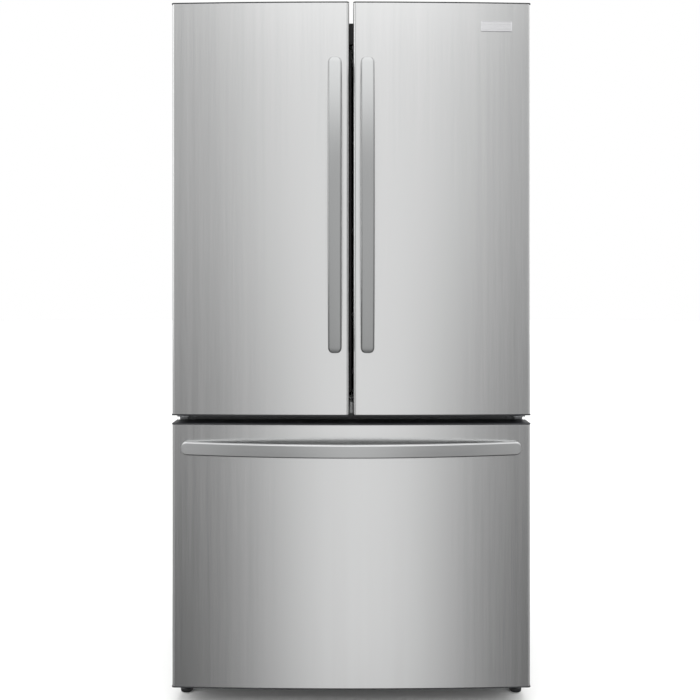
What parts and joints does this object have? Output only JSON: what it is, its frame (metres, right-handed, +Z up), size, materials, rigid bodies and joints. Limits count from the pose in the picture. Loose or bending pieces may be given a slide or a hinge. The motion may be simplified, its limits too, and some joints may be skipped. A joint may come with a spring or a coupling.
{
  "type": "french door refrigerator",
  "caption": "Freestanding refrigerator with a pair of bowed stainless french doors over a freezer drawer, strap handles, shelves, crispers and freezer baskets.",
  "frame": {"origin": "on the floor, at the middle of the overall width and of the overall depth including the handles", "axes": "+Z up, +X to the right as seen from the front, the doors and handles face -Y"},
  "size_m": [0.909, 0.9, 1.79],
  "materials": {
    "stainless_front": "vertically brushed stainless sheet, smudge resistant satin",
    "handle_steel": "satin brushed stainless",
    "painted_case": "grey textured coat",
    "white_liner": "white vacuum formed liner",
    "dark_cap": "dark grey moulded, fine texture",
    "grey_cover": "grey moulded, fine texture",
    "door_gasket": "soft magnetic gasket",
    "clear_tray": "clear moulded styrene",
    "shelf_glass": "tempered glass in a moulded rim",
    "zinc_steel": "zinc plated pressed steel",
    "black_steel": "black enamel",
    "coil_aluminium": "bare fins and tube",
    "black_foot": "black moulded",
    "badge_metal": "bright blank plate",
    "basket_plastic": "white coated"
  },
  "bodies": {
    "cabinet": {"outer_case": "painted_case", "back_panel": "painted_case", "foamed_liner": "white_liner", "centre_rail": "black_steel", "base_frame": "zinc_steel", "toe_grille": "dark_cap", "compressor": "black_steel", "condenser": "black_steel", "machine_cover": "grey_cover", "evaporator": "coil_aluminium", "evaporator_cover": "white_liner", "air_duct": "white_liner", "control_panel": "white_liner", "upper_shelf_left": "shelf_glass", "upper_shelf_right": "shelf_glass", "lower_shelf": "shelf_glass", "crisper_cover": "shelf_glass", "left_freezer_rail": "zinc_steel", "left_top_hinge": "zinc_steel", "left_hinge_cover": "grey_cover", "left_centre_hinge": "zinc_steel", "right_freezer_rail": "zinc_steel", "right_top_hinge": "zinc_steel", "right_hinge_cover": "grey_cover", "right_centre_hinge": "zinc_steel"},
    "left_door": {"left_door_panel": "stainless_front", "left_door_liner": "white_liner", "left_door_top_cap": "dark_cap", "left_door_bottom_cap": "dark_cap", "left_door_gasket": "door_gasket", "left_door_handle": "handle_steel", "left_door_bin_lower": "clear_tray", "left_door_bin_upper": "clear_tray"},
    "right_door": {"right_door_panel": "stainless_front", "right_door_liner": "white_liner", "right_door_top_cap": "dark_cap", "right_door_bottom_cap": "dark_cap", "right_door_gasket": "door_gasket", "right_door_handle": "handle_steel", "right_door_bin_lower": "clear_tray", "right_door_bin_upper": "clear_tray", "badge_plate": "badge_metal"},
    "flipper": {"flipper_bar": "dark_cap"},
    "drawer": {"drawer_panel": "stainless_front", "drawer_liner": "white_liner", "drawer_top_cap": "dark_cap", "drawer_bottom_cap": "dark_cap", "drawer_gasket": "door_gasket", "drawer_handle": "handle_steel", "lower_basket": "basket_plastic", "drawer_frame": "zinc_steel"},
    "upper_freezer_basket": {"upper_basket": "basket_plastic"},
    "left_crisper_drawer": {"left_crisper": "clear_tray"},
    "right_crisper_drawer": {"right_crisper": "clear_tray"},
    "condenser_blower": {"condenser_fan": "dark_cap"},
    "evaporator_blower": {"evaporator_fan": "dark_cap"},
    "left_foot": {"left_front_foot": "black_foot"},
    "right_foot": {"right_front_foot": "black_foot"},
    "left_roller": {"left_rear_roller": "black_foot"},
    "right_roller": {"right_rear_roller": "black_foot"}
  },
  "joints": [
    {"name": "left_door_hinge", "type": "hinge", "parent": "cabinet", "child": "left_door", "pos_m": [-0.425, -0.352, 1.2], "axis": [0, 0, -1], "range_deg": [0, 117]},
    {"name": "right_door_hinge", "type": "hinge", "parent": "cabinet", "child": "right_door", "pos_m": [0.425, -0.352, 1.2], "axis": [0, 0, 1], "range_deg": [0, 117]},
    {"name": "flipper_fold", "type": "hinge", "parent": "left_door", "child": "flipper", "pos_m": [-0.03, -0.3037, 1.2], "axis": [0, 0, 1], "range_deg": [0, 90]},
    {"name": "freezer_drawer_slide", "type": "slide", "parent": "cabinet", "child": "drawer", "axis": [0, -1, 0], "range_m": [0, 0.42]},
    {"name": "upper_basket_slide", "type": "slide", "parent": "cabinet", "child": "upper_freezer_basket", "axis": [0, -1, 0], "range_m": [0, 0.26]},
    {"name": "left_crisper_slide", "type": "slide", "parent": "cabinet", "child": "left_crisper_drawer", "axis": [0, -1, 0], "range_m": [0, 0.2]},
    {"name": "right_crisper_slide", "type": "slide", "parent": "cabinet", "child": "right_crisper_drawer", "axis": [0, -1, 0], "range_m": [0, 0.2]},
    {"name": "condenser_fan_spin", "type": "hinge", "parent": "cabinet", "child": "condenser_blower", "pos_m": [-0.091, 0.369, 0.15], "axis": [1, 0, 0], "continuous": true},
    {"name": "evaporator_fan_spin", "type": "hinge", "parent": "cabinet", "child": "evaporator_blower", "pos_m": [0, 0.1805, 0.572], "axis": [0, 1, 0], "continuous": true},
    {"name": "left_foot_screw", "type": "hinge", "parent": "cabinet", "child": "left_foot", "pos_m": [-0.433, -0.301, 0.01], "axis": [0, 0, 1], "range_deg": [-720, 720]},
    {"name": "right_foot_screw", "type": "hinge", "parent": "cabinet", "child": "right_foot", "pos_m": [0.433, -0.301, 0.01], "axis": [0, 0, 1], "range_deg": [-720, 720]},
    {"name": "left_roller_spin", "type": "hinge", "parent": "cabinet", "child": "left_roller", "pos_m": [-0.398, 0.39, 0.02], "axis": [1, 0, 0], "continuous": true},
    {"name": "right_roller_spin", "type": "hinge", "parent": "cabinet", "child": "right_roller", "pos_m": [0.398, 0.39, 0.02], "axis": [1, 0, 0], "continuous": true}
  ],
  "couplings": [
    {"joint": "flipper_fold", "follows": "left_door_hinge", "ratio": 0.769},
    {"joint": "left_crisper_slide", "follows": "left_door_hinge", "m_per_rad": 0.0979},
    {"joint": "right_crisper_slide", "follows": "right_door_hinge", "m_per_rad": 0.0979},
    {"joint": "upper_basket_slide", "follows": "freezer_drawer_slide", "ratio": 0.6}
  ]
}
